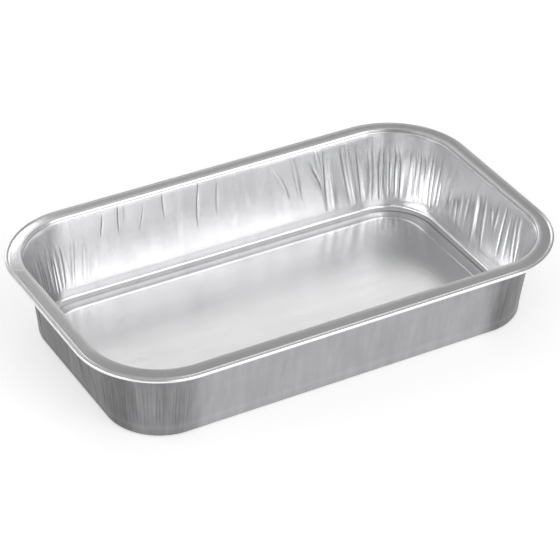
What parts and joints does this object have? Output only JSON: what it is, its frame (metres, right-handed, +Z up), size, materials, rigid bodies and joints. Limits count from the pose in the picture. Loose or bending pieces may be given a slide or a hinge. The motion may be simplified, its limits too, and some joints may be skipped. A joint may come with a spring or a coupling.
{
  "type": "aluminium foil tray",
  "caption": "Shallow oblong baking tray pressed from thin aluminium sheet, with a flat flange, a rolled rim edge, leaning walls with gathered corners and a raised floor panel.",
  "frame": {"origin": "middle of the footprint, on the surface that the tray stands on", "axes": "+X along the tray's length, +Y along its width, +Z up out of the open mouth"},
  "size_m": [0.32, 0.194, 0.0559],
  "materials": {
    "foil": "bright rolled aluminium foil with faint rolling lines, semi-gloss"
  },
  "bodies": {
    "root": {"tray": "foil"}
  },
  "joints": []
}
